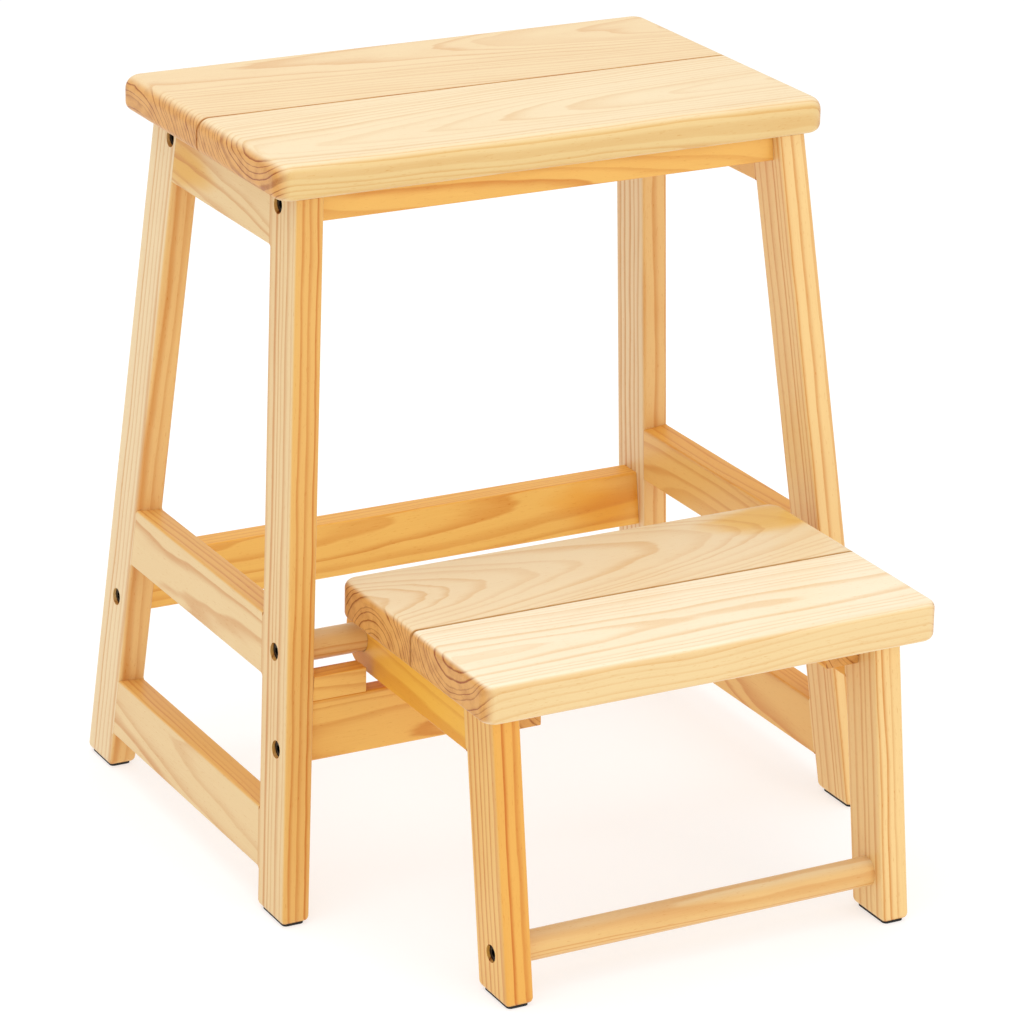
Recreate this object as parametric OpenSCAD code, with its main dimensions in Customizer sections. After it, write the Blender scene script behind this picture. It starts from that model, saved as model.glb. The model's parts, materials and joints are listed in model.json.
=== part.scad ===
// Two-tier folding step stool in solid pine.
// Frame: +X to the user's right along the planks, -Y to the front, +Z up.
// The origin is on the floor, in the middle of the open stool's footprint.
// The lower step turns on a round bar between the front legs. At rest it is open.

/* [Seat] */
// Height of the seat's top above the floor
seat_height = 500; // [480:5:520]
// Length of the seat along the planks
seat_length = 405; // [400:1:412]
// Depth of the two seat planks together
seat_depth = 256; // [250:1:260]
// Thickness of the seat planks
plank_t = 24; // [22:1:26]
// Radius of the seat's corners in plan
seat_corner_r = 13; // [11:1:22]
// Radius of the seat's rounded upper edges
seat_edge_r = 9; // [5:0.5:10]
// Radius of the seat's rounded lower edges
seat_under_r = 6; // [3:0.5:8]

/* [Side frames] */
// Half width of the frame at the floor, to the legs' outer faces
foot_half_width = 228; // [226:1:232]
// Sideways lean of each side frame
side_lean = 4.75; // [4.5:0.05:4.9]
// Thickness of the side frames' stock
stock_t = 20; // [19:0.5:21]
// Width of a leg, seen from the side
leg_w = 39.5; // [38:0.5:42]
// Forward lean of the front legs
front_lean = 7.3; // [7:0.05:7.5]
// Backward lean of the back legs
back_lean = 4.9; // [4.6:0.05:5.2]
// Front face of the front legs at the floor, in front of the seat's middle
front_foot_y = 184; // [182:1:187]
// Back face of the back legs at the floor, behind the seat's middle
back_foot_y = 144; // [142:1:147]
// Height of the low and middle side rails
side_rail_h = 41.5; // [38:0.5:42]
// Underside of the low side rails
low_rail_z = 27; // [22:1:34]
// Underside of the middle side rails
mid_rail_z = 157; // [154:1:160]
// Height of the side aprons under the seat
apron_h = 38.5; // [36:0.5:42]

/* [Cross members] */
// Height of the two battens under the seat
batten_h = 19; // [18:0.5:22]
// Width of the battens, from front to back
batten_w = 34; // [28:1:36]
// Middle of the front batten, in front of the seat's middle
front_batten_y = 97; // [95:1:99]
// Middle of the back batten, behind the seat's middle
back_batten_y = 73.5; // [72:0.5:76]
// Height of the back rail
back_rail_h = 41.5; // [38:0.5:42]
// Underside of the back rail
back_rail_z = 117; // [114:1:120]
// Thickness of the back rail
back_rail_t = 20; // [18:1:22]
// Height of the low front rail
front_rail_h = 42.5; // [40:0.5:43]
// Thickness of the low front rail
front_rail_t = 15; // [14:0.5:18]
// Height of each spacer block on the low front rail
spacer_h = 17; // [12:0.5:17.5]

/* [Lower step] */
// Height of the lower step's top above the floor
step_height = 222.5; // [221:0.5:224]
// Thickness of the step planks
step_plank_t = 27; // [26:0.5:28]
// Length of the lower step along the planks
step_length = 332; // [328:1:336]
// Depth of the two step planks together
step_depth = 208; // [204:1:212]
// Radius of the step's corners in plan
step_corner_r = 11; // [7:1:14]
// Radius of the step's rounded edges
step_edge_r = 5; // [3:0.5:6]
// Half width of the step's frame, to its legs' outer faces
step_half_width = 150.5; // [148:0.5:152]
// Width of a step leg, seen from the side
step_leg_w = 39; // [38:0.5:41]
// Forward lean of the step legs
step_lean = 7.9; // [7.5:0.1:8.2]
// Front face of the step legs at the floor, in front of the seat's middle
step_foot_y = 353; // [350:1:354]

/* [Round bars] */
// Diameter of both round bars
bar_d = 20; // [18:0.5:21]
// Middle of the pivot bar, in front of the seat's middle
pivot_y = 141; // [140:0.5:142]
// Height of the pivot bar's middle
pivot_z = 178.5; // [178:0.5:180]
// Height of the lower bar's middle
low_bar_z = 31; // [28:1:40]
// Running clearance round the pivot bar, on the radius
pivot_gap = 0.4; // [0.3:0.05:0.6]

/* [Hidden] */
$fn = 48;
HULL_FN = 32;
BIG = 700;
CUT = 1;

// Gap between the two planks of a tread
seam = 0.8;
// Black pads under the legs
pad_t = 1.5;
pad_size = [15, 34];
pad_corner_r = 3;

// The seat's middle lies behind the origin, so that the footprint is centred on it
seat_y = (step_foot_y - back_foot_y) / 2;

// Underside of each tread, which is the top of what carries it
seat_under = seat_height - plank_t;
step_under = step_height - step_plank_t;

// Furniture screws: a head sunk in a counterbore, and a shank in a pilot hole
head_r = 5.6;
head_h = 4;
head_sunk = 2;
hex_across = 5;
hex_depth = 2.2;
sink_r = 6;
sink_depth = head_sunk + head_h;
shank_r = 2.75;
shank_length = 42;
shank_fit = 0.05;

// Wooden dowels inside the joints
dowel_r = 4;
dowel_in_leg = 9;
dowel_in_rail = 16;
dowel_fit = 0.05;
dowel_spare = 1;

// Wood screws that hold the planks from below
wood_screw_r = 2;
wood_head_r = 4;
wood_head_h = 2.4;
wood_head_sunk = 4;
wood_head_fit = 0.3;
wood_screw_bite = 13;

// How far the round bars stand in their sockets
bar_socket = 8;
bar_r = bar_d / 2;

// Middle of each batten, and the heights of the screws and dowels in the side frames
front_batten_at_y = seat_y - front_batten_y;
back_batten_at_y = seat_y + back_batten_y;
batten_z = seat_under - batten_h / 2;
rail_screw_up = 10;
rail_dowel_down = 10;
side_dowel_up = [10, 30];
apron_dowel_up = [7, 17];

// The low front rail hangs under the pivot bar, and its back face stops the folded step
pivot_at_y = seat_y - pivot_y;
stop_to_pivot = 6;
front_rail_top = 148;
front_rail_z = front_rail_top - front_rail_h;
front_rail_y = pivot_at_y - stop_to_pivot - front_rail_t / 2;
back_rail_behind = 111.5;
back_rail_y = seat_y + back_rail_behind;
// The legs and aprons are cut from longer blanks
blank_spare = 10;

// Step frame: its rails end in a half round about the pivot
step_rail_end_r = 23;
step_rail_z = pivot_z - step_rail_end_r;
step_behind_pivot = 1;
step_back_y = pivot_at_y + step_behind_pivot;
step_dowel_in = 10;
step_dowel_z = [step_rail_z + step_dowel_in, step_under - step_dowel_in];
low_bar_forward = 1;
low_bar_y = step_front_y(low_bar_z) + step_leg_w / 2 - low_bar_forward;

// Cleats under the step's planks, inside its rails
cleat_w = 25;
cleat_h = 24;
cleat_length = 150;
cleat_x = step_half_width - stock_t - cleat_w / 2;
cleat_to_pivot = 167;
cleat_front_y = pivot_at_y - cleat_to_pivot;
cleat_screw_first = 13;
cleat_screw_pitch = 40;
spacer_gap = 6;

wood_pale = [0.94, 0.84, 0.66];
wood_warm = [0.90, 0.74, 0.50];
wood_edge = [0.86, 0.66, 0.40];
metal_black = [0.08, 0.08, 0.09];
rubber_black = [0.05, 0.05, 0.05];

// Outer face of a side frame at height z, and its inner face there
function outer_x(z) = foot_half_width - z * tan(side_lean);
function inner_x(z) = outer_x(z) - stock_t / cos(side_lean);
// Front face of a front leg and back face of a back leg at height z
function front_y(z) = seat_y - front_foot_y + z * tan(front_lean);
function back_y(z) = seat_y + back_foot_y - z * tan(back_lean);
// Front face of a step leg at height z
function step_front_y(z) = seat_y - step_foot_y + z * tan(step_lean);
// Height z measured up along a leaning side frame
function up_frame(z) = z / cos(side_lean);

// ---- Shared shapes ----

// A disc with a round rim, which is one corner's upper or lower edge
module round_rim(corner_r, edge_r) {
    rotate_extrude($fn = HULL_FN) intersection() {
        translate([corner_r - edge_r, 0]) circle(edge_r, $fn = HULL_FN);
        translate([0, -edge_r]) square([corner_r, 2 * edge_r]);
    }
}

// A tread blank: a board with rounded corners and rounded edges, its underside at z = 0
module tread_blank(length, depth, t, corner_r, upper_r, under_r) {
    hull()
        for (sx = [-1, 1], sy = [-1, 1], edge = [[under_r, under_r], [t - upper_r, upper_r]])
            translate([sx * (length / 2 - corner_r), sy * (depth / 2 - corner_r), edge[0]])
                round_rim(corner_r, edge[1]);
}

// One plank of a tread: side -1 is the front plank, 1 the back one
module plank(side, length, depth, t, corner_r, upper_r, under_r) {
    intersection() {
        tread_blank(length, depth, t, corner_r, upper_r, under_r);
        translate([-BIG / 2, side > 0 ? seam / 2 : -seam / 2 - depth, -CUT])
            cube([BIG, depth, t + 2 * CUT]);
    }
}

// A board standing in the YZ plane, from an outline of [y, z] points, t thick along +X
module side_board(points, t) {
    rotate([90, 0, 90]) linear_extrude(t) polygon(points);
}

// Puts a board that stands on the plane x = 0 into the left or right leaning side frame
module in_side_frame(side) {
    mirror([side > 0 ? 1 : 0, 0, 0])
        translate([-foot_half_width, 0, 0]) rotate([0, side_lean, 0]) children();
}

// Everything between the floor pads and the underside of a tread
module between_floor_and(top) {
    translate([-BIG / 2, -BIG / 2, pad_t]) cube([BIG, BIG, top - pad_t]);
}

// A cross member between the leaning side frames: both ends follow their lean
module cross_board(y, t, z0, z1) {
    translate([0, y + t / 2, 0]) rotate([90, 0, 0]) linear_extrude(t)
        polygon([[-inner_x(z0), z0], [inner_x(z0), z0], [inner_x(z1), z1], [-inner_x(z1), z1]]);
}

// A rod along X from x0 to x1
module rod_x(x0, x1, y, z, r) {
    translate([x0, y, z]) rotate([0, 90, 0]) cylinder(h = x1 - x0, r = r);
}

// A rod along Y from y0 to y1
module rod_y(y0, y1, x, z, r) {
    translate([x, y0, z]) rotate([-90, 0, 0]) cylinder(h = y1 - y0, r = r);
}

// A furniture screw whose counterbore opens at x = -face, driven towards +X
module furniture_screw(face, y, z) {
    difference() {
        union() {
            rod_x(-face + head_sunk, -face + sink_depth, y, z, head_r);
            rod_x(-face + sink_depth - CUT, -face + sink_depth + shank_length, y, z, shank_r);
        }
        translate([-face + head_sunk - CUT, y, z]) rotate([0, 90, 0])
            cylinder(h = hex_depth + CUT, r = hex_across / sqrt(3), $fn = 6);
    }
}

// The counterbore and pilot hole of a furniture screw
module furniture_screw_hole(face, y, z) {
    rod_x(-face - sink_depth, -face + sink_depth, y, z, sink_r);
    rod_x(-face, -face + sink_depth + shank_length + CUT, y, z, shank_r + shank_fit);
}

// The same on either side
module on_side(side) {
    mirror([side > 0 ? 1 : 0, 0, 0]) children();
}

// A wood screw from below, its tip reaching wood_screw_bite into the plank above
module wood_screw(x, y, z0, z1) {
    translate([x, y, z0 + wood_head_sunk]) {
        cylinder(h = z1 + wood_screw_bite - z0 - wood_head_sunk, r = wood_screw_r);
        cylinder(h = wood_head_h, r = wood_head_r);
    }
}

module wood_screw_hole(x, y, z0, z1) {
    translate([x, y, z0 - CUT])
        cylinder(h = CUT + wood_head_sunk + wood_head_h, r = wood_head_r + wood_head_fit);
    translate([x, y, z0]) cylinder(h = z1 + wood_screw_bite + CUT - z0, r = wood_screw_r + shank_fit);
}

// ---- Where the fasteners are ----

// [y, z] of the screws in a side: front leg first, then back leg
front_leg_screws = [
    [front_batten_at_y, batten_z], [pivot_at_y, pivot_z], [front_rail_y, front_rail_z + rail_screw_up]
];
back_leg_screws = [[back_batten_at_y, batten_z], [back_rail_y, back_rail_z + rail_screw_up]];
// [y, z] of the dowels between the cross rails and the legs
front_rail_dowel = [front_rail_y, front_rail_top - rail_dowel_down];
back_rail_dowel = [back_rail_y, back_rail_z + back_rail_h - rail_dowel_down];
seat_screw_pitch = 130;
seat_screw_x = [for (i = [-1:1]) i * seat_screw_pitch];
cleat_screw_y = [for (i = [0:3]) cleat_front_y + cleat_screw_first + i * cleat_screw_pitch];

// Wooden dowels along Y in one side frame, for the rail whose underside is at z, in the frame's plane
module side_dowels(z, ups, fit, spare) {
    for (up = ups) {
        v = up_frame(z + up);
        f = front_y(z + up) + leg_w;
        b = back_y(z + up) - leg_w;
        rod_y(f - dowel_in_leg - spare, f + dowel_in_rail + spare, stock_t / 2, v, dowel_r + fit);
        rod_y(b - dowel_in_rail - spare, b + dowel_in_leg + spare, stock_t / 2, v, dowel_r + fit);
    }
}

module all_side_dowels(fit, spare) {
    side_dowels(low_rail_z, side_dowel_up, fit, spare);
    side_dowels(mid_rail_z, side_dowel_up, fit, spare);
    side_dowels(seat_under - apron_h, apron_dowel_up, fit, spare);
}

// A wooden dowel between the inner face of the left side and a cross rail
module cross_dowel(p, fit, spare) {
    face = -inner_x(p[1]);
    rod_x(face - dowel_in_leg - spare, face + dowel_in_rail + spare, p[0], p[1], dowel_r + fit);
}

// Wooden dowels between the left step rail and its leg
module step_dowels(fit, spare) {
    x = -step_half_width + stock_t / 2;
    for (z = step_dowel_z) {
        back = step_front_y(z) + step_leg_w;
        rod_y(back - dowel_in_leg - spare, back + dowel_in_rail + spare, x, z, dowel_r + fit);
    }
}

// ---- Seat ----

module seat_plank(side) {
    y = side > 0 ? back_batten_at_y : front_batten_at_y;
    color(wood_pale) difference() {
        translate([0, seat_y, seat_under])
            plank(side, seat_length, seat_depth, plank_t, seat_corner_r, seat_edge_r, seat_under_r);
        for (x = seat_screw_x) wood_screw_hole(x, y, seat_under - batten_h, seat_under);
    }
}

module seat_batten(side) {
    y = side > 0 ? back_batten_at_y : front_batten_at_y;
    color(wood_warm) difference() {
        cross_board(y, batten_w, seat_under - batten_h, seat_under);
        for (s = [-1, 1]) on_side(s) furniture_screw_hole(outer_x(batten_z), y, batten_z);
        for (x = seat_screw_x) wood_screw_hole(x, y, seat_under - batten_h, seat_under);
    }
}

// ---- Side frames ----

// A leg without its holes: its outer edge at z0 and z1 is y0 and y1, and its other edge is w further along Y
module leg_blank(side, y0, y1, w) {
    z0 = up_frame(-blank_spare);
    z1 = up_frame(seat_under + blank_spare);
    intersection() {
        in_side_frame(side) side_board([[y0, z0], [y0 + w, z0], [y1 + w, z1], [y1, z1]], stock_t);
        between_floor_and(seat_under);
    }
}

module leg_front(side) {
    color(wood_warm) difference() {
        leg_blank(side, front_y(-blank_spare), front_y(seat_under + blank_spare), leg_w);
        in_side_frame(side) all_side_dowels(dowel_fit, dowel_spare);
        on_side(side) {
            for (p = front_leg_screws) furniture_screw_hole(outer_x(p[1]), p[0], p[1]);
            cross_dowel(front_rail_dowel, dowel_fit, dowel_spare);
            translate([-inner_x(pivot_z), 0, 0])
                rod_x(-bar_socket, bar_socket, pivot_at_y, pivot_z, bar_r + shank_fit);
        }
    }
}

module leg_back(side) {
    color(wood_warm) difference() {
        leg_blank(side, back_y(-blank_spare), back_y(seat_under + blank_spare), -leg_w);
        in_side_frame(side) all_side_dowels(dowel_fit, dowel_spare);
        on_side(side) {
            for (p = back_leg_screws) furniture_screw_hole(outer_x(p[1]), p[0], p[1]);
            cross_dowel(back_rail_dowel, dowel_fit, dowel_spare);
        }
    }
}

// A rail of a side frame, between its two legs
module side_rail(side, z, h) {
    color(wood_warm) difference() {
        in_side_frame(side) side_board([
            [front_y(z) + leg_w, up_frame(z)], [back_y(z) - leg_w, up_frame(z)],
            [back_y(z + h) - leg_w, up_frame(z + h)], [front_y(z + h) + leg_w, up_frame(z + h)]
        ], stock_t);
        in_side_frame(side) all_side_dowels(dowel_fit, dowel_spare);
    }
}

// The apron's top is cut level to carry the seat
module side_apron(side) {
    intersection() {
        side_rail(side, seat_under - apron_h, apron_h + blank_spare);
        color(wood_warm) between_floor_and(seat_under);
    }
}

// ---- Cross members ----

module cross_rail(y, t, z, h, dowel) {
    color(wood_warm) difference() {
        cross_board(y, t, z, z + h);
        for (s = [-1, 1]) on_side(s) {
            furniture_screw_hole(outer_x(z + rail_screw_up), y, z + rail_screw_up);
            cross_dowel(dowel, dowel_fit, dowel_spare);
        }
    }
}

module back_rail() {
    cross_rail(back_rail_y, back_rail_t, back_rail_z, back_rail_h, back_rail_dowel);
}

module front_low_rail() {
    cross_rail(front_rail_y, front_rail_t, front_rail_z, front_rail_h, front_rail_dowel);
}

module round_bar(half, y, z, face) {
    color(wood_edge) difference() {
        rod_x(-half, half, y, z, bar_r);
        for (s = [-1, 1]) on_side(s) furniture_screw_hole(face, y, z);
    }
}

module pivot_bar() {
    round_bar(inner_x(pivot_z) + bar_socket - dowel_spare, pivot_at_y, pivot_z, outer_x(pivot_z));
}

// Fills the space between the leg and the step's rail, so that the step stays in the middle
module spacer_block(side) {
    z1 = front_rail_top + spacer_h;
    color(wood_edge) on_side(side)
        translate([0, front_rail_y + front_rail_t / 2, 0]) rotate([90, 0, 0]) linear_extrude(front_rail_t)
            polygon([
                [-inner_x(front_rail_top), front_rail_top], [-step_half_width - spacer_gap, front_rail_top],
                [-step_half_width - spacer_gap, z1], [-inner_x(z1), z1]
            ]);
}

// ---- Fasteners and pads of the frame ----

module frame_screws() {
    color(metal_black) for (s = [-1, 1]) on_side(s) {
        for (p = front_leg_screws) furniture_screw(outer_x(p[1]), p[0], p[1]);
        for (p = back_leg_screws) furniture_screw(outer_x(p[1]), p[0], p[1]);
    }
}

module cross_rail_dowels() {
    color(wood_edge) for (s = [-1, 1]) on_side(s) {
        cross_dowel(front_rail_dowel, 0, 0);
        cross_dowel(back_rail_dowel, 0, 0);
    }
}

module side_frame_dowels() {
    color(wood_edge) for (s = [-1, 1]) in_side_frame(s) all_side_dowels(0, 0);
}

module seat_batten_screws() {
    color(metal_black) for (x = seat_screw_x, y = [front_batten_at_y, back_batten_at_y])
        wood_screw(x, y, seat_under - batten_h, seat_under);
}

module foot_pad(x, y) {
    translate([x, y, 0]) linear_extrude(pad_t) {
        square([pad_size[0] - 2 * pad_corner_r, pad_size[1]], center = true);
        square([pad_size[0], pad_size[1] - 2 * pad_corner_r], center = true);
        for (sx = [-1, 1], sy = [-1, 1])
            translate([sx * (pad_size[0] / 2 - pad_corner_r), sy * (pad_size[1] / 2 - pad_corner_r)])
                circle(pad_corner_r);
    }
}

module frame_foot_pads() {
    x = (outer_x(pad_t) + inner_x(pad_t)) / 2;
    color(rubber_black) for (s = [-1, 1]) {
        foot_pad(s * x, front_y(pad_t) + leg_w / 2);
        foot_pad(s * x, back_y(pad_t) - leg_w / 2);
    }
}

// ---- Lower step ----

module step_plank(side) {
    color(wood_pale) difference() {
        translate([0, step_back_y - step_depth / 2, step_under])
            plank(side, step_length, step_depth, step_plank_t, step_corner_r, step_edge_r, step_edge_r);
        for (s = [-1, 1], y = cleat_screw_y)
            wood_screw_hole(s * cleat_x, y, step_under - cleat_h, step_under);
    }
}

// The rail's front end follows the leg's lean, and its back end is round about the pivot
module step_rail(side) {
    color(wood_warm) on_side(side) difference() {
        union() {
            translate([-step_half_width, 0, 0]) side_board([
                [step_front_y(step_rail_z) + step_leg_w, step_rail_z], [pivot_at_y, step_rail_z],
                [pivot_at_y, step_under], [step_front_y(step_under) + step_leg_w, step_under]
            ], stock_t);
            intersection() {
                rod_x(-step_half_width, -step_half_width + stock_t, pivot_at_y, pivot_z, step_rail_end_r);
                translate([-step_half_width - CUT, pivot_at_y, 0]) cube([stock_t + 2 * CUT, BIG, step_under]);
            }
        }
        translate([-step_half_width, 0, 0])
            rod_x(-CUT, stock_t + CUT, pivot_at_y, pivot_z, bar_r + pivot_gap);
        step_dowels(dowel_fit, dowel_spare);
    }
}

module step_leg(side) {
    color(wood_warm) on_side(side) difference() {
        translate([-step_half_width, 0, 0]) side_board([
            [step_front_y(pad_t), pad_t], [step_front_y(pad_t) + step_leg_w, pad_t],
            [step_front_y(step_under) + step_leg_w, step_under], [step_front_y(step_under), step_under]
        ], stock_t);
        step_dowels(dowel_fit, dowel_spare);
        furniture_screw_hole(step_half_width, low_bar_y, low_bar_z);
        rod_x(-step_half_width + stock_t - bar_socket, 0, low_bar_y, low_bar_z, bar_r + shank_fit);
    }
}

module step_low_bar() {
    round_bar(step_half_width - stock_t + bar_socket - dowel_spare, low_bar_y, low_bar_z, step_half_width);
}

module step_cleat(side) {
    color(wood_edge) difference() {
        translate([side * cleat_x - cleat_w / 2, cleat_front_y, step_under - cleat_h])
            cube([cleat_w, cleat_length, cleat_h]);
        for (y = cleat_screw_y) wood_screw_hole(side * cleat_x, y, step_under - cleat_h, step_under);
    }
}

module step_leg_screws() {
    color(metal_black) for (s = [-1, 1]) on_side(s) furniture_screw(step_half_width, low_bar_y, low_bar_z);
}

module step_cleat_screws() {
    color(metal_black) for (s = [-1, 1], y = cleat_screw_y)
        wood_screw(s * cleat_x, y, step_under - cleat_h, step_under);
}

module step_frame_dowels() {
    color(wood_edge) for (s = [-1, 1]) on_side(s) step_dowels(0, 0);
}

module step_foot_pads() {
    color(rubber_black) for (s = [-1, 1])
        foot_pad(s * (step_half_width - stock_t / 2), step_front_y(pad_t) + step_leg_w / 2);
}

seat_plank(-1);  // seat_plank_front
seat_plank(1);  // seat_plank_back
leg_front(-1);  // leg_front_left
leg_front(1);  // leg_front_right
leg_back(-1);  // leg_back_left
leg_back(1);  // leg_back_right
side_apron(-1);  // side_apron_left
side_apron(1);  // side_apron_right
side_rail(-1, mid_rail_z, side_rail_h);  // side_mid_rail_left
side_rail(1, mid_rail_z, side_rail_h);  // side_mid_rail_right
side_rail(-1, low_rail_z, side_rail_h);  // side_low_rail_left
side_rail(1, low_rail_z, side_rail_h);  // side_low_rail_right
seat_batten(-1);  // seat_batten_front
seat_batten(1);  // seat_batten_back
back_rail();
front_low_rail();
pivot_bar();
spacer_block(-1);  // spacer_block_left
spacer_block(1);  // spacer_block_right
frame_screws();
cross_rail_dowels();
side_frame_dowels();
seat_batten_screws();
frame_foot_pads();
step_plank(-1);  // step_plank_front
step_plank(1);  // step_plank_back
step_rail(-1);  // step_rail_left
step_rail(1);  // step_rail_right
step_leg(-1);  // step_leg_left
step_leg(1);  // step_leg_right
step_low_bar();
step_cleat(-1);  // step_cleat_left
step_cleat(1);  // step_cleat_right
step_leg_screws();
step_cleat_screws();
step_frame_dowels();
step_foot_pads();
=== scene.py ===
"""The folding step stool's looks: pine boards, black screws and pads, and a white studio.

Every board is a copy of its CAD node with its edges rounded over. Its wood is one solid block of growth
rings, cut where the board is, so that the faces, the edges and the end grain belong together.
"""

import json
import math

import bmesh
import bpy
from mathutils import Matrix, Vector


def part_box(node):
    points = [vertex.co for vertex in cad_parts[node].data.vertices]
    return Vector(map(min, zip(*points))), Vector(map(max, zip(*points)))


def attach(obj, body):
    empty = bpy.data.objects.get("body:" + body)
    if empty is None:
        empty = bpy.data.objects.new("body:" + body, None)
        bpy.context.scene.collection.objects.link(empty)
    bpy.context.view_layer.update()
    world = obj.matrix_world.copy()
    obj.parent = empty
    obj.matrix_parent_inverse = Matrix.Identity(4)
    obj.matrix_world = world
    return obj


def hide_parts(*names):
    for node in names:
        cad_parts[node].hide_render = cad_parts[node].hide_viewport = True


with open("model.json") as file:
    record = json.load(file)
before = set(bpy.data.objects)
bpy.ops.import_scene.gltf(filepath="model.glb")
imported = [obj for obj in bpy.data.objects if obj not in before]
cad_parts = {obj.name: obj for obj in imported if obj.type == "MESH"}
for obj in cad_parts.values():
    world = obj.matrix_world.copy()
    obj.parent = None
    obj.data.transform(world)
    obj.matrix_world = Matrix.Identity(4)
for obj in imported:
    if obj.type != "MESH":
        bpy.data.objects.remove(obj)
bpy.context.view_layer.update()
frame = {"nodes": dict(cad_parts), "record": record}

MM = 0.001
X_AXIS = Vector((1, 0, 0))
Y_AXIS = Vector((0, 1, 0))
Z_AXIS = Vector((0, 0, 1))

# ---- Camera ----

CAMERA_AT = Vector((-1.3369, -2.4524, 1.2806))
CAMERA_AZIMUTH = math.radians(28.24)
CAMERA_ELEVATION = math.radians(20.64)
CAMERA_ROLL = math.radians(-1.02)
CAMERA_LENS = 155.45
SENSOR = 36.0
FARTHEST_SEEN = 50

# ---- Edges and holes, in metres ----

BEVEL_WIDTH = 5 * MM
BEVEL_STEPS = 5
SHARP_ANGLE = math.radians(25)
FLAT_ANGLE = math.radians(1.5)
WELD = 0.01 * MM
# A face is an end when its normal lies this much along the grain
END_FACE = 0.8
FOOT_TOP = 6 * MM
HEAD_ROOM = 0.4 * MM
HEAD_DEPTH = 4 * MM
WOOD_HEAD_DEPTH = 2.4 * MM
CUTTER_SPARE = 12 * MM
DRILL_SIDES = 48
# The most that the weighted normals can be drawn to the large faces
FLATTEST = 100


# ---- Boards: a copy of the CAD node with its edges eased ----


def body_of(node):
    """The CAD body that a node belongs to."""
    bodies = frame["record"]["behaviour"]["bodies"]
    return next(body for body, nodes in bodies.items() if node in nodes)


def slot_of(node):
    """The record's material slot of a node."""
    return next(s["material_slot"] for s in frame["record"]["subparts"] if s["node"] == node)


def middle(node):
    low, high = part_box(node)
    return (low + high) / 2


def leg_direction(node):
    """The direction up a leaning leg, from the middle of its foot to the middle of its top."""
    points = [v.co for v in frame["nodes"][node].data.vertices]
    low = min(p.z for p in points)
    high = max(p.z for p in points)
    ends = []
    for z in (low, high):
        end = [p for p in points if abs(p.z - z) < MM]
        ends.append(Vector([(min(c) + max(c)) / 2 for c in zip(*end)]))
    return (ends[1] - ends[0]).normalized()


def edge_radius(edge, grain, shape, joints):
    """How far an edge is rounded over: not at all inside a joint, and evenly round a half-round end."""
    first, second = edge.link_faces
    at = (edge.verts[0].co + edge.verts[1].co) / 2
    if any(low < at.z < high and (at.y - y) * side > 0 for low, high, y, side in joints):
        return 0
    if at.y > shape.get("round_end", math.inf):
        return shape["long"]
    if max(abs(first.normal.dot(grain)), abs(second.normal.dot(grain))) > END_FACE:
        return shape["foot"] if "foot" in shape and at.z < FOOT_TOP else shape["end"]
    return shape["long"]


def joints_of(leg, rails):
    """Where rails meet a leg, as (lowest z, highest z, the leg's middle y there, the rail's side of it)."""
    places = []
    for rail in rails:
        low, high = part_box(rail)
        points = [v.co for v in frame["nodes"][leg].data.vertices]
        foot = middle(leg)
        side = 1 if (low.y + high.y) / 2 > foot.y else -1
        z = (low.z + high.z) / 2
        up = leg_direction(leg)
        y = foot.y + (z - foot.z) * up.y / up.z
        places.append((low.z + MM, high.z - MM, y, side))
    return places


def solids_of(node):
    """The box of each separate solid in a node, as (lowest corner, highest corner), in order of place."""
    solid = bmesh.new()
    solid.from_mesh(frame["nodes"][node].data)
    bmesh.ops.remove_doubles(solid, verts=solid.verts, dist=WELD)
    left = set(solid.verts)
    boxes = []
    while left:
        found = [left.pop()]
        for vertex in found:
            for edge in vertex.link_edges:
                other = edge.other_vert(vertex)
                if other in left:
                    left.remove(other)
                    found.append(other)
        columns = list(zip(*(v.co for v in found)))
        boxes.append((Vector([min(c) for c in columns]), Vector([max(c) for c in columns])))
    solid.free()
    return sorted(boxes, key=lambda box: tuple(box[0]))


def head_holes(node, screws, out, depth):
    """The holes over the sunk heads of a node's screws, as (middle, direction, radius, length)."""
    low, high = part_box(node)
    holes = []
    for first, last in solids_of(screws):
        centre = (first + last) / 2
        # A sideways screw goes in from the side of the stool that it is on
        away = out if out.z else out * math.copysign(1, centre.x)
        half = (last - first) / 2
        if not all(low[i] < centre[i] < high[i] for i in range(3) if not away[i]):
            continue
        face = centre + away * abs(half.dot(away))
        radius = max(abs(half[i]) for i in range(3) if not away[i]) + HEAD_ROOM
        length = depth + CUTTER_SPARE
        holes.append((face + away * (length / 2 - depth), away, radius, length))
    return holes


def blank(node, grain, shape, joints):
    """The outside of a CAD board, which is convex, with the rounding of each edge as its bevel weight."""
    solid = bmesh.new()
    for vertex in frame["nodes"][node].data.vertices:
        solid.verts.new(vertex.co)
    bmesh.ops.remove_doubles(solid, verts=solid.verts, dist=WELD)
    hull = bmesh.ops.convex_hull(solid, input=solid.verts)
    spare = hull["geom_interior"] + hull["geom_unused"]
    inside = {v for v in spare if isinstance(v, bmesh.types.BMVert)}
    bmesh.ops.delete(solid, geom=list(inside), context="VERTS")
    bmesh.ops.dissolve_limit(solid, angle_limit=FLAT_ANGLE, verts=solid.verts, edges=solid.edges)
    for low, high, _, _ in joints:
        for z in (low, high):
            everything = solid.verts[:] + solid.edges[:] + solid.faces[:]
            bmesh.ops.bisect_plane(solid, geom=everything, plane_co=(0, 0, z), plane_no=Z_AXIS)
    solid.normal_update()
    weight = solid.edges.layers.float.new("bevel_weight_edge")
    for edge in solid.edges:
        if edge.calc_face_angle() > SHARP_ANGLE:
            edge[weight] = edge_radius(edge, grain, shape, joints) / BEVEL_WIDTH
    mesh = bpy.data.meshes.new(node + "_board")
    solid.to_mesh(mesh)
    solid.free()
    return mesh


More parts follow.
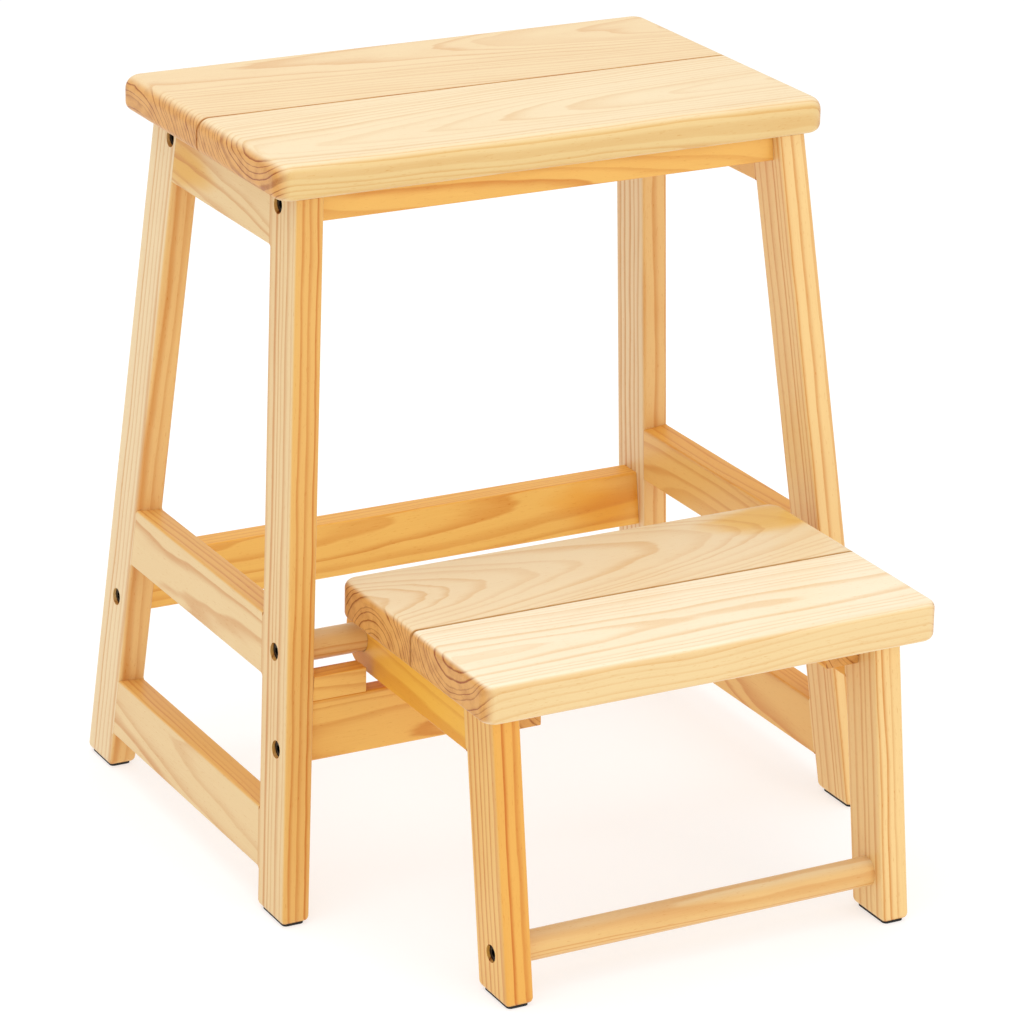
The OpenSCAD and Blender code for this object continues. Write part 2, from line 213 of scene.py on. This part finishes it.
def drills(holes):
    """An object made of one cylinder for each hole."""
    solid = bmesh.new()
    for centre, direction, radius, length in holes:
        turn = direction.to_track_quat("Z", "Y").to_matrix().to_4x4()
        bmesh.ops.create_cone(
            solid, cap_ends=True, segments=DRILL_SIDES, radius1=radius, radius2=radius, depth=length,
            matrix=Matrix.Translation(centre) @ turn,
        )
    mesh = bpy.data.meshes.new("drills")
    solid.to_mesh(mesh)
    solid.free()
    tool = bpy.data.objects.new("drills", mesh)
    bpy.context.scene.collection.objects.link(tool)
    return tool


def closes_bevel(face, limits):
    """Whether a face is one of the small triangles that end a rounded edge at a joint's limits."""
    z = face.calc_center_median().z
    return len(face.verts) == 3 and any(abs(z - limit) < BEVEL_WIDTH for limit in limits)


def board(node, grain, shape, joints=(), holes=()):
    """A board with rounded edges and drilled holes, which stands for its CAD node."""
    piece = bpy.data.objects.new(node + "_board", blank(node, grain, shape, joints))
    bpy.context.scene.collection.objects.link(piece)
    bevel = piece.modifiers.new("Eased edges", "BEVEL")
    bevel.width = BEVEL_WIDTH
    bevel.segments = BEVEL_STEPS
    bevel.limit_method = "WEIGHT"
    bevel.use_clamp_overlap = False
    tool = drills(holes)
    if holes:
        cut = piece.modifiers.new("Holes", "BOOLEAN")
        cut.operation = "DIFFERENCE"
        cut.solver = "EXACT"
        cut.object = tool
    bpy.context.view_layer.update()
    evaluated = piece.evaluated_get(bpy.context.evaluated_depsgraph_get())
    finished = bpy.data.meshes.new_from_object(evaluated)
    piece.modifiers.clear()
    piece.data = finished
    bpy.data.objects.remove(tool)

    solid = bmesh.new()
    solid.from_mesh(finished)
    limits = [z for low, high, _, _ in joints for z in (low, high)]
    for edge in solid.edges:
        closing = any(closes_bevel(face, limits) for face in edge.link_faces)
        edge.smooth = edge.is_manifold and not closing and edge.calc_face_angle() < SHARP_ANGLE
    for face in solid.faces:
        face.smooth = True
    solid.to_mesh(finished)
    solid.free()
    normals = piece.modifiers.new("Flat faces stay flat", "WEIGHTED_NORMAL")
    normals.keep_sharp = True
    normals.weight = FLATTEST
    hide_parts(node)
    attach(piece, body_of(node))
    return piece


# ---- Shader helpers ----


def feed(tree, socket, value):
    """Links an output to the socket, or sets the socket's own value."""
    if isinstance(value, bpy.types.NodeSocket):
        tree.links.new(value, socket)
    else:
        socket.default_value = value


def maths(tree, operation, *values, clamp=False):
    node = tree.nodes.new("ShaderNodeMath")
    node.operation = operation
    node.use_clamp = clamp
    for socket, value in zip(node.inputs, values):
        feed(tree, socket, value)
    return node.outputs[0]


def vectors(tree, operation, *values):
    node = tree.nodes.new("ShaderNodeVectorMath")
    node.operation = operation
    for socket, value in zip(node.inputs, values):
        feed(tree, socket, value)
    return node.outputs["Value" if operation == "DOT_PRODUCT" else "Vector"]


def swing(tree, value, size, average=0.5):
    """Noise as a swing to both sides of zero, this many times as large."""
    return maths(tree, "MULTIPLY", maths(tree, "SUBTRACT", value, average), size)


def combine(tree, x, y, z):
    node = tree.nodes.new("ShaderNodeCombineXYZ")
    for socket, value in zip(node.inputs, (x, y, z)):
        feed(tree, socket, value)
    return node.outputs[0]


def noise(tree, at, detail=2.0, roughness=0.5):
    """Smooth noise, about 0.5 on average, as (value, colour)."""
    node = tree.nodes.new("ShaderNodeTexNoise")
    node.inputs["Scale"].default_value = 1.0
    node.inputs["Detail"].default_value = detail
    node.inputs["Roughness"].default_value = roughness
    feed(tree, node.inputs["Vector"], at)
    return node.outputs[0], node.outputs[1]


def step(tree, value, low, high, to_low=0.0, to_high=1.0):
    """A smooth step from to_low to to_high, as the value goes from low to high."""
    node = tree.nodes.new("ShaderNodeMapRange")
    node.interpolation_type = "SMOOTHSTEP"
    names = ("Value", "From Min", "From Max", "To Min", "To Max")
    for name, given in zip(names, (value, low, high, to_low, to_high)):
        feed(tree, node.inputs[name], given)
    return node.outputs["Result"]


def blend(tree, factor, first, second, mode="MIX"):
    node = tree.nodes.new("ShaderNodeMix")
    node.data_type = "RGBA"
    node.blend_type = mode
    feed(tree, node.inputs["Factor"], factor)
    colours = [s for s in node.inputs if s.type == "RGBA"]
    feed(tree, colours[0], first)
    feed(tree, colours[1], second)
    return next(s for s in node.outputs if s.type == "RGBA")


def srgb(red, green, blue):
    """A colour given as it looks on screen, from 0 to 255."""
    parts = [c / 255 for c in (red, green, blue)]
    return tuple(c / 12.92 if c <= 0.04045 else ((c + 0.055) / 1.055) ** 2.4 for c in parts) + (1.0,)


# ---- Pine ----

PINE_INPUTS = [
    ("Middle", "NodeSocketVector"), ("Along", "NodeSocketVector"), ("Across", "NodeSocketVector"),
    ("Through", "NodeSocketVector"), ("Pith across", "NodeSocketFloat"), ("Pith through", "NodeSocketFloat"),
    ("Lean across", "NodeSocketFloat"), ("Lean through", "NodeSocketFloat"), ("Ring", "NodeSocketFloat"),
    ("Wander", "NodeSocketFloat"), ("Contrast", "NodeSocketFloat"), ("Seed", "NodeSocketFloat"),
    ("Early", "NodeSocketColor"), ("Late", "NodeSocketColor"), ("Side shade", "NodeSocketColor"),
    ("End early", "NodeSocketColor"), ("End late", "NodeSocketColor"), ("Heart", "NodeSocketFloat"),
    ("Heart at", "NodeSocketVector"), ("Seam", "NodeSocketFloat"),
]
PINE_OUTPUTS = [
    ("Colour", "NodeSocketColor"), ("Roughness", "NodeSocketFloat"), ("Height", "NodeSocketFloat"),
]

# How far apart the pieces of noise lie that two boards take
SEED_STEP = 17.3

# Features of the wood, as (length, width) in millimetres
WANDER_SIZE = (210, 75)
RIPPLE_SIZE = (60, 11)
FIBRE_SIZE = (26, 0.55)
CANAL_SIZE = (5.5, 0.5)
CLOUD_SIZE = (85, 24)
SPECKLE_SIZE = (0.7, 0.7)
BLOTCH_SIZE = (9, 9)
RIPPLE_DEPTH = 2.0

# Growth: how the years' widths and strengths vary, and where in its year the late wood starts and peaks
YEARS_SCALE = 0.45
YEARS_SPREAD = 2.4
WEAKEST_YEAR = 0.4
LATE_START = 0.28
LATE_PEAK = 0.9
END_LINE_START = 0.62
END_LINE_PEAK = 0.93

# How much each feature turns early wood's colour to late wood's, on the faces and in the end grain
CLOUD_AMOUNT = 0.34
FIBRE_AMOUNT = 0.30
CANAL_AMOUNT = 0.40
SPECKLE_AMOUNT = 0.5
BLOTCH_AMOUNT = 1.1

# The noise at which clouds and blotches turn from lighter to darker, and at which canals start and are full
CLOUD_MIDDLE = 0.45
BLOTCH_MIDDLE = 0.42
CANAL_START = 0.66
CANAL_FULL = 0.76

# How squarely a face looks across the board to be a narrow face, which gets the painted side shade, or along
# it to be an end
SIDE_START = 0.35
SIDE_FULL = 0.9
END_START = 0.35
END_FULL = 0.92

# The heartwood patch's half length, width and depth in millimetres, its uneven outline, and where it fades
HEART_SIZE = (50, 24, 34)
HEART_UNEVEN = 1.2
HEART_FULL = 0.35
HEART_GONE = 1.15
HEART_TINT = srgb(248, 220, 144)

# The painted shadow of the gap beside a seam between planks, in millimetres from the seam
SEAM_SHADE = srgb(216, 188, 152)
SEAM_FULL = 0.3
SEAM_GONE = 1.4
NO_SEAM = 1000.0

# The varnished surface
ROUGHNESS = 0.34
ROUGHNESS_SPREAD = 0.12
FIBRE_RELIEF = 0.5
RING_RELIEF = 0.35
CANAL_RELIEF = 0.5
GRAIN_BUMP = 0.12
GRAIN_DEPTH = 0.15 * MM
VARNISH_SPECULAR = 0.25
VARNISH_COAT = 0.08
VARNISH_COAT_ROUGHNESS = 0.2


def pine_group():
    """Pine as a solid: growth rings about a pith, fibres, resin canals, heartwood, and darker end grain.

    Lengths inside it are in millimetres, along, across and through the board from its middle.
    """
    tree = bpy.data.node_groups.new("Pine", "ShaderNodeTree")
    for name, kind in PINE_INPUTS:
        tree.interface.new_socket(name, in_out="INPUT", socket_type=kind)
    for name, kind in PINE_OUTPUTS:
        tree.interface.new_socket(name, in_out="OUTPUT", socket_type=kind)
    given = tree.nodes.new("NodeGroupInput").outputs
    result = tree.nodes.new("NodeGroupOutput").inputs
    place = tree.nodes.new("ShaderNodeTexCoord").outputs

    # The point in the board's own directions, in millimetres
    offset = vectors(tree, "SUBTRACT", place["Object"], given["Middle"])
    millimetres = vectors(tree, "MULTIPLY", offset, (1 / MM, 1 / MM, 1 / MM))
    along = vectors(tree, "DOT_PRODUCT", millimetres, given["Along"])
    across = vectors(tree, "DOT_PRODUCT", millimetres, given["Across"])
    through = vectors(tree, "DOT_PRODUCT", millimetres, given["Through"])
    seed = maths(tree, "MULTIPLY", given["Seed"], SEED_STEP)

    def stretched(length, width):
        """The point scaled so that noise has features this long and this wide."""
        return combine(
            tree,
            maths(tree, "ADD", maths(tree, "DIVIDE", along, length), seed),
            maths(tree, "DIVIDE", across, width),
            maths(tree, "ADD", maths(tree, "DIVIDE", through, width), seed),
        )

    # The trunk wasn't straight: the rings wander slowly, and a little every few centimetres
    _, slow = noise(tree, stretched(*WANDER_SIZE), detail=1.5)
    shift = tree.nodes.new("ShaderNodeSeparateXYZ")
    feed(tree, shift.inputs[0], slow)
    ripple, _ = noise(tree, stretched(*RIPPLE_SIZE), detail=2.0)

    def from_pith(distance, pith, lean, wander):
        """How far the point is from the pith in one direction."""
        leaning = maths(tree, "MULTIPLY", along, lean)
        straight = maths(tree, "SUBTRACT", maths(tree, "SUBTRACT", distance, pith), leaning)
        return maths(tree, "ADD", straight, swing(tree, wander, given["Wander"]))

    a = from_pith(across, given["Pith across"], given["Lean across"], shift.outputs[0])
    b = from_pith(through, given["Pith through"], given["Lean through"], shift.outputs[1])
    squared = maths(tree, "ADD", maths(tree, "MULTIPLY", a, a), maths(tree, "MULTIPLY", b, b))
    radius = maths(tree, "SQRT", squared)
    radius = maths(tree, "ADD", radius, swing(tree, ripple, RIPPLE_DEPTH))

    # Good and poor years
    years = maths(tree, "DIVIDE", radius, given["Ring"])
    scaled = maths(tree, "MULTIPLY", years, YEARS_SCALE)
    uneven, _ = noise(tree, combine(tree, scaled, seed, 0.0), detail=1.0)
    years = maths(tree, "ADD", years, maths(tree, "MULTIPLY", uneven, YEARS_SPREAD))
    phase = maths(tree, "FRACT", years)
    year = tree.nodes.new("ShaderNodeTexWhiteNoise")
    year.noise_dimensions = "2D"
    feed(tree, year.inputs["Vector"], combine(tree, maths(tree, "FLOOR", years), seed, 0.0))
    rise = step(tree, phase, LATE_START, LATE_PEAK)
    fall = step(tree, phase, LATE_PEAK, 1.0, 1.0, 0.0)
    ring = maths(tree, "MULTIPLY", maths(tree, "MULTIPLY", rise, rise), fall)
    strength = maths(tree, "MULTIPLY_ADD", year.outputs["Value"], 1 - WEAKEST_YEAR, WEAKEST_YEAR)
    late = maths(tree, "MULTIPLY", ring, strength)

    # Fibres, resin canals and cloudy patches
    fibre, _ = noise(tree, stretched(*FIBRE_SIZE), detail=3.0, roughness=0.6)
    canals, _ = noise(tree, stretched(*CANAL_SIZE), detail=1.0)
    canal = step(tree, canals, CANAL_START, CANAL_FULL)
    cloud, _ = noise(tree, stretched(*CLOUD_SIZE), detail=2.0)

    amount = maths(tree, "MULTIPLY", late, given["Contrast"])
    amount = maths(tree, "ADD", amount, swing(tree, cloud, CLOUD_AMOUNT, CLOUD_MIDDLE))
    amount = maths(tree, "ADD", amount, swing(tree, fibre, FIBRE_AMOUNT))
    amount = maths(tree, "ADD", amount, maths(tree, "MULTIPLY", canal, CANAL_AMOUNT), clamp=True)
    colour = blend(tree, amount, given["Early"], given["Late"])

    # Painted shade: the board's narrow faces are turned darker and warmer, the way faces that get less light
    # look
    normal = place["Normal"]
    facing = maths(tree, "ABSOLUTE", vectors(tree, "DOT_PRODUCT", normal, given["Across"]))
    # The painted side shade multiplies the wood's colour
    side_shaded = blend(tree, 1.0, colour, given["Side shade"], "MULTIPLY")
    colour = blend(tree, step(tree, facing, SIDE_START, SIDE_FULL), colour, side_shaded)

    # A patch of heartwood
    reach = vectors(tree, "SUBTRACT", combine(tree, along, across, through), given["Heart at"])
    reach = vectors(tree, "MULTIPLY", reach, tuple(1 / size for size in HEART_SIZE))
    length = maths(tree, "SQRT", vectors(tree, "DOT_PRODUCT", reach, reach))
    length = maths(tree, "ADD", length, swing(tree, cloud, HEART_UNEVEN))
    heart = maths(tree, "MULTIPLY", step(tree, length, HEART_FULL, HEART_GONE, 1.0, 0.0), given["Heart"])
    colour = blend(tree, heart, colour, blend(tree, 1.0, colour, HEART_TINT, "MULTIPLY"))

    # End grain soaks up the varnish, so it is darker and its rings are plain
    end = maths(tree, "ABSOLUTE", vectors(tree, "DOT_PRODUCT", normal, given["Along"]))
    speckle, _ = noise(tree, stretched(*SPECKLE_SIZE), detail=2.0)
    blotch, _ = noise(tree, stretched(*BLOTCH_SIZE), detail=2.0)
    stain = swing(tree, blotch, BLOTCH_AMOUNT, BLOTCH_MIDDLE)
    soaked = maths(tree, "ADD", swing(tree, speckle, SPECKLE_AMOUNT), stain)
    line = step(tree, phase, END_LINE_START, END_LINE_PEAK)
    line = maths(tree, "MULTIPLY", line, fall)
    end_amount = maths(tree, "ADD", maths(tree, "MULTIPLY", line, strength), soaked, clamp=True)
    end_colour = blend(tree, end_amount, given["End early"], given["End late"])
    colour = blend(tree, step(tree, end, END_START, END_FULL), colour, end_colour)

    # Painted shadow: the wood is darker along the gap between two planks
    from_seam = maths(tree, "ABSOLUTE", maths(tree, "SUBTRACT", across, given["Seam"]))
    seam_shaded = blend(tree, 1.0, colour, SEAM_SHADE, "MULTIPLY")
    colour = blend(tree, step(tree, from_seam, SEAM_FULL, SEAM_GONE, 1.0, 0.0), colour, seam_shaded)

    feed(tree, result["Colour"], colour)
    feed(tree, result["Roughness"], maths(tree, "MULTIPLY_ADD", fibre, ROUGHNESS_SPREAD, ROUGHNESS))
    relief = maths(tree, "MULTIPLY_ADD", fibre, FIBRE_RELIEF, maths(tree, "MULTIPLY", ring, RING_RELIEF))
    sunk = maths(tree, "MULTIPLY", canal, CANAL_RELIEF)
    feed(tree, result["Height"], maths(tree, "SUBTRACT", relief, sunk))
    return tree


PINE = pine_group()

# Wood of each tone: early wood, late wood, and the painted shade of the board's narrow faces
# The warmer, more saturated tones (gold, warm, deep, amber) are partly the boards' own colour and partly
# painted shade and bounce light, for boards inside the stool or in shade
TONES = {
    "white": dict(early=srgb(245, 231, 201), late=srgb(224, 176, 108), side_shade=srgb(245, 227, 192)),
    "pale": dict(early=srgb(236, 214, 174), late=srgb(214, 162, 90), side_shade=srgb(247, 235, 201)),
    "straw": dict(early=srgb(233, 206, 160), late=srgb(206, 144, 74), side_shade=srgb(254, 234, 196)),
    "cream": dict(early=srgb(230, 198, 144), late=srgb(200, 132, 62), side_shade=srgb(253, 228, 176)),
    "honey": dict(early=srgb(239, 204, 142), late=srgb(208, 138, 62), side_shade=srgb(255, 252, 246)),
    "gold": dict(early=srgb(234, 188, 112), late=srgb(204, 126, 48), side_shade=srgb(255, 236, 190)),
    "warm": dict(early=srgb(238, 186, 98), late=srgb(204, 122, 40), side_shade=srgb(255, 240, 210)),
    "deep": dict(early=srgb(238, 181, 72), late=srgb(206, 118, 28), side_shade=srgb(255, 240, 210)),
    "amber": dict(early=srgb(245, 197, 104), late=srgb(218, 140, 48), side_shade=srgb(255, 244, 220)),
}

# End grain is the same in every tone
END_EARLY = srgb(220, 162, 88)
END_LATE = srgb(150, 72, 12)


def pine(
    piece, node, grain, thickness, tone, pith,
    ring=5.0, lean=(0.0, 0.0), wander=8.0, contrast=0.8, heart=None, seam=NO_SEAM,
):
    """Gives a board its own pine.

    pith is where the rings' middle lies, across and through the board. heart is where a patch of heartwood
    lies, along, across and through it. Both are in millimetres from the board's middle, and so is seam,
    which is how far across the board it meets the next plank.
    """
    through = (thickness - grain * thickness.dot(grain)).normalized()
    across = through.cross(grain)
    material = bpy.data.materials.new(node + "_pine")
    material.use_nodes = True
    tree = material.node_tree
    shader = tree.nodes["Principled BSDF"]
    wood = tree.nodes.new("ShaderNodeGroup")
    wood.node_tree = PINE
    colours = TONES[tone]
    values = {
        "Middle": middle(node), "Along": grain, "Across": across, "Through": through,
        "Pith across": pith[0], "Pith through": pith[1], "Lean across": lean[0], "Lean through": lean[1],
        "Ring": ring, "Wander": wander, "Contrast": contrast, "Seed": float(len(bpy.data.materials)),
        "Early": colours["early"], "Late": colours["late"], "Side shade": colours["side_shade"],
        "End early": END_EARLY, "End late": END_LATE,
        "Heart": 1.0 if heart else 0.0, "Heart at": heart or (0, 0, 0), "Seam": seam,
    }
    for name, value in values.items():
        wood.inputs[name].default_value = value
    bump = tree.nodes.new("ShaderNodeBump")
    bump.inputs["Strength"].default_value = GRAIN_BUMP
    bump.inputs["Distance"].default_value = GRAIN_DEPTH
    tree.links.new(wood.outputs["Height"], bump.inputs["Height"])
    tree.links.new(bump.outputs["Normal"], shader.inputs["Normal"])
    tree.links.new(wood.outputs["Colour"], shader.inputs["Base Color"])
    tree.links.new(wood.outputs["Roughness"], shader.inputs["Roughness"])
    shader.inputs["Specular IOR Level"].default_value = VARNISH_SPECULAR
    shader.inputs["Coat Weight"].default_value = VARNISH_COAT
    shader.inputs["Coat Roughness"].default_value = VARNISH_COAT_ROUGHNESS
    piece.data.materials.clear()
    piece.data.materials.append(material)


# ---- The boards ----

# How far each kind of board is rounded over: on its long edges, round its ends, and round a leg's foot
LEG = dict(long=2.4 * MM, end=0.3 * MM, foot=4.0 * MM)
RAIL = dict(long=2.0 * MM, end=0.35 * MM)
BATTEN = dict(long=1.4 * MM, end=0.3 * MM)
TREAD = dict(long=0.8 * MM, end=0.8 * MM)
BLOCK = dict(long=0.7 * MM, end=0.5 * MM)
BAR = dict(long=0.0, end=0.3 * MM)


def treads():
    """The planks of the seat and of the lower step."""
    for node, side, tone, pith, lean, heart in (
        ("seat_plank_front", 1, "pale", (-12, 44), (0.03, -0.06), None),
        ("seat_plank_back", -1, "straw", (34, -52), (-0.03, 0.05), None),
        ("step_plank_front", 1, "white", (-6, 42), (0.0, 0.03), None),
        ("step_plank_back", -1, "pale", (10, -48), (0.05, -0.13), (140, 24, 12)),
    ):
        low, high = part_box(node)
        seam = side * (high.y - low.y) / 2 / MM
        piece = board(node, X_AXIS, TREAD)
        pine(
            piece, node, X_AXIS, Z_AXIS, tone, pith,
            ring=4.2, lean=lean, wander=14, contrast=0.5, heart=heart, seam=seam,
        )


# The side frames' legs, which take their own tones
LEG_TONES = {
    "leg_front_left": "cream",
    "leg_back_left": "straw",
    "leg_front_right": "honey",
    "leg_back_right": "straw",
}


def side_frames():
    """The legs, rails and aprons of the two leaning side frames."""
    # The right frame's rails are seen from inside the stool, and their gold tone is partly painted shade
    for side, tone in (("left", "cream"), ("right", "gold")):
        rails = ["side_low_rail_" + side, "side_mid_rail_" + side, "side_apron_" + side]
        for place, pith in (("front", (78, 52)), ("back", (-70, 60))):
            node = "leg_" + place + "_" + side
            up = leg_direction(node)
            holes = head_holes(node, "frame_screws", X_AXIS, HEAD_DEPTH)
            piece = board(node, up, LEG, joints_of(node, rails), holes)
            pine(piece, node, up, X_AXIS, LEG_TONES[node], pith, ring=5.0, wander=5, contrast=0.9)
        piths = ((12, 48), (-16, 40), (20, 60))
        hearts = (None, None, (62, 4, 0))
        for node, pith, heart in zip(rails, piths, hearts):
            piece = board(node, Y_AXIS, RAIL)
            pine(
                piece, node, Y_AXIS, X_AXIS, tone, pith,
                ring=4.6, lean=(0.05, 0.02), wander=12, contrast=0.65, heart=heart,
            )


def cross_members():
    """The battens, rails and blocks between the side frames."""
    # The boards between the frames take the warm and amber tones, which are partly painted shade and bounce
    # light
    for node, shape, tone, pith, heart in (
        ("seat_batten_front", BATTEN, "warm", (14, 30), None),
        ("seat_batten_back", BATTEN, "warm", (-12, 34), None),
        ("back_rail", RAIL, "amber", (-18, 46), (168, 2, 0)),
        ("front_low_rail", RAIL, "warm", (16, -42), None),
        ("spacer_block_left", BLOCK, "warm", (10, 16), None),
        ("spacer_block_right", BLOCK, "warm", (-10, 16), None),
    ):
        holes = ()
        if shape is BATTEN:
            holes = head_holes(node, "seat_batten_screws", -Z_AXIS, WOOD_HEAD_DEPTH)
        piece = board(node, X_AXIS, shape, holes=holes)
        pine(
            piece, node, X_AXIS, Y_AXIS, tone, pith,
            ring=4.4, lean=(0.03, 0.03), contrast=0.65, heart=heart,
        )


def step_frame():
    """The rails, legs and cleats of the lower step."""
    bar_low, bar_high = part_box("pivot_bar")
    bar_middle = middle("pivot_bar")
    bore = (bar_high.z - bar_low.z) / 2 + HEAD_ROOM
    for side, tone in (("left", "gold"), ("right", "honey")):
        rail = "step_rail_" + side
        leg = "step_leg_" + side
        cleat = "step_cleat_" + side
        up = leg_direction(leg)
        on_bar = Vector((middle(rail).x, bar_middle.y, bar_middle.z))
        bar_hole = (on_bar, X_AXIS, bore, 2 * CUTTER_SPARE)
        screws = head_holes(leg, "step_leg_screws", X_AXIS, HEAD_DEPTH)
        cleat_screws = head_holes(cleat, "step_cleat_screws", -Z_AXIS, WOOD_HEAD_DEPTH)
        piece = board(leg, up, LEG, joints_of(leg, [rail]), screws)
        pine(piece, leg, up, X_AXIS, tone, (74, 44), ring=5.0, wander=5, contrast=1.0)
        piece = board(rail, Y_AXIS, dict(RAIL, round_end=bar_middle.y - MM), holes=[bar_hole])
        # The step rails' deep tone and the cleats' warm tone are partly painted shade, because they sit
        # under the planks
        pine(piece, rail, Y_AXIS, X_AXIS, "deep", (-20, 52), ring=4.6)
        piece = board(cleat, Y_AXIS, BLOCK, holes=cleat_screws)
        pine(piece, cleat, Y_AXIS, X_AXIS, "warm", (14, 26), ring=4.0)


def bars():
    """The round bars."""
    for node in ("pivot_bar", "step_low_bar"):
        piece = board(node, X_AXIS, BAR)
        pine(piece, node, X_AXIS, Z_AXIS, "straw", (20, -26), ring=4.0, lean=(0.02, 0.01))


# ---- Fasteners and pads ----

# The fine surface of steel and rubber: its relief, its spread of roughness, and how dark its dark spots are
FINISH_BUMP = 0.2
FINISH_DEPTH = 0.05 * MM
FINISH_SPREAD = 0.2
DARKEST = 0.6


def dark_finish(name, colour, roughness, metallic, grain):
    """A dark finish whose colour, roughness and surface vary finely. grain is the size of that variation."""
    material = bpy.data.materials.new(name)
    material.use_nodes = True
    tree = material.node_tree
    shader = tree.nodes["Principled BSDF"]
    place = tree.nodes.new("ShaderNodeTexCoord").outputs["Object"]
    fine, _ = noise(tree, vectors(tree, "MULTIPLY", place, (1 / grain, 1 / grain, 1 / grain)), detail=3.0)
    darkest = tuple(c * DARKEST for c in colour[:3]) + (1.0,)
    tree.links.new(blend(tree, fine, darkest, colour), shader.inputs["Base Color"])
    uneven = maths(tree, "MULTIPLY_ADD", fine, FINISH_SPREAD, roughness - FINISH_SPREAD / 2)
    tree.links.new(uneven, shader.inputs["Roughness"])
    shader.inputs["Metallic"].default_value = metallic
    bump = tree.nodes.new("ShaderNodeBump")
    bump.inputs["Strength"].default_value = FINISH_BUMP
    bump.inputs["Distance"].default_value = FINISH_DEPTH
    tree.links.new(fine, bump.inputs["Height"])
    tree.links.new(bump.outputs["Normal"], shader.inputs["Normal"])
    return material


def fasteners():
    """The screws, the foot pads and the hidden dowels keep their CAD shape."""
    steel = dark_finish("black_oxide", srgb(40, 38, 38), roughness=0.38, metallic=0.8, grain=0.6 * MM)
    rubber = dark_finish("black_rubber", srgb(30, 29, 28), roughness=0.75, metallic=0.0, grain=0.4 * MM)
    for node, piece in frame["nodes"].items():
        slot = slot_of(node)
        if slot in ("black_steel", "black_rubber"):
            piece.data.materials.clear()
            piece.data.materials.append(steel if slot == "black_steel" else rubber)
    for node in ("cross_rail_dowels", "step_frame_dowels"):
        pine(frame["nodes"][node], node, X_AXIS, Z_AXIS, "cream", (20, 20))
    pine(frame["nodes"]["side_frame_dowels"], "side_frame_dowels", Y_AXIS, Z_AXIS, "cream", (20, 20))


# ---- Studio ----

# The floor glows a little, so that it is as white as the sky and still shows a faint shadow
FLOOR_HALF = 12
FLOOR_COLOUR = (0.45, 0.45, 0.45, 1)
FLOOR_GLOW = 0.62
FLOOR_ROUGHNESS = 0.9
WHITE = (1, 1, 1, 1)
SKY_STRENGTH = 0.8
LIGHTS_AIM = Vector((0, 0, 0.25))


def studio():
    """A white floor under a white sky, with soft boxes overhead, at the left and at the front."""
    scene = bpy.context.scene
    floor_mesh = bpy.data.meshes.new("floor")
    signs = ((-1, -1), (1, -1), (1, 1), (-1, 1))
    corners = [(x * FLOOR_HALF, y * FLOOR_HALF, 0) for x, y in signs]
    floor_mesh.from_pydata(corners, [], [(0, 1, 2, 3)])
    floor = bpy.data.objects.new("floor", floor_mesh)
    scene.collection.objects.link(floor)
    material = bpy.data.materials.new("floor_white")
    material.use_nodes = True
    shader = material.node_tree.nodes["Principled BSDF"]
    shader.inputs["Base Color"].default_value = FLOOR_COLOUR
    shader.inputs["Emission Color"].default_value = WHITE
    shader.inputs["Emission Strength"].default_value = FLOOR_GLOW
    shader.inputs["Roughness"].default_value = FLOOR_ROUGHNESS
    shader.inputs["Specular IOR Level"].default_value = 0.0
    floor_mesh.materials.append(material)

    world = bpy.data.worlds.new("studio")
    world.use_nodes = True
    sky = world.node_tree.nodes["Background"]
    sky.inputs["Color"].default_value = WHITE
    sky.inputs["Strength"].default_value = SKY_STRENGTH
    scene.world = world
    for name, at, size, power in (
        ("overhead", (-0.3, 0.2, 2.6), 2.4, 24),
        ("left", (-2.6, -0.6, 1.4), 1.8, 5),
        ("front", (0.9, -3.0, 1.5), 1.8, 20),
    ):
        light = bpy.data.lights.new(name, "AREA")
        light.size = size
        light.energy = power
        lamp = bpy.data.objects.new(name, light)
        lamp.location = at
        aim = LIGHTS_AIM - Vector(at)
        lamp.rotation_euler = aim.to_track_quat("-Z", "Y").to_euler()
        scene.collection.objects.link(lamp)
    scene.view_settings.view_transform = "Standard"


def camera():
    """The camera, from its azimuth, elevation and roll."""
    ahead = Vector((
        math.sin(CAMERA_AZIMUTH) * math.cos(CAMERA_ELEVATION),
        math.cos(CAMERA_AZIMUTH) * math.cos(CAMERA_ELEVATION),
        -math.sin(CAMERA_ELEVATION),
    ))
    level = ahead.cross(Z_AXIS).normalized()
    down = ahead.cross(level)
    right = level * math.cos(CAMERA_ROLL) + down * math.sin(CAMERA_ROLL)
    up = level * math.sin(CAMERA_ROLL) - down * math.cos(CAMERA_ROLL)
    lens = bpy.data.cameras.new("camera")
    lens.lens = CAMERA_LENS
    lens.sensor_width = SENSOR
    lens.clip_end = FARTHEST_SEEN
    eye = bpy.data.objects.new("camera", lens)
    turned = Matrix((right, up, -ahead)).transposed().to_4x4()
    eye.matrix_world = Matrix.Translation(CAMERA_AT) @ turned
    bpy.context.scene.collection.objects.link(eye)
    bpy.context.scene.camera = eye


treads()
side_frames()
cross_members()
step_frame()
bars()
fasteners()
studio()
camera()
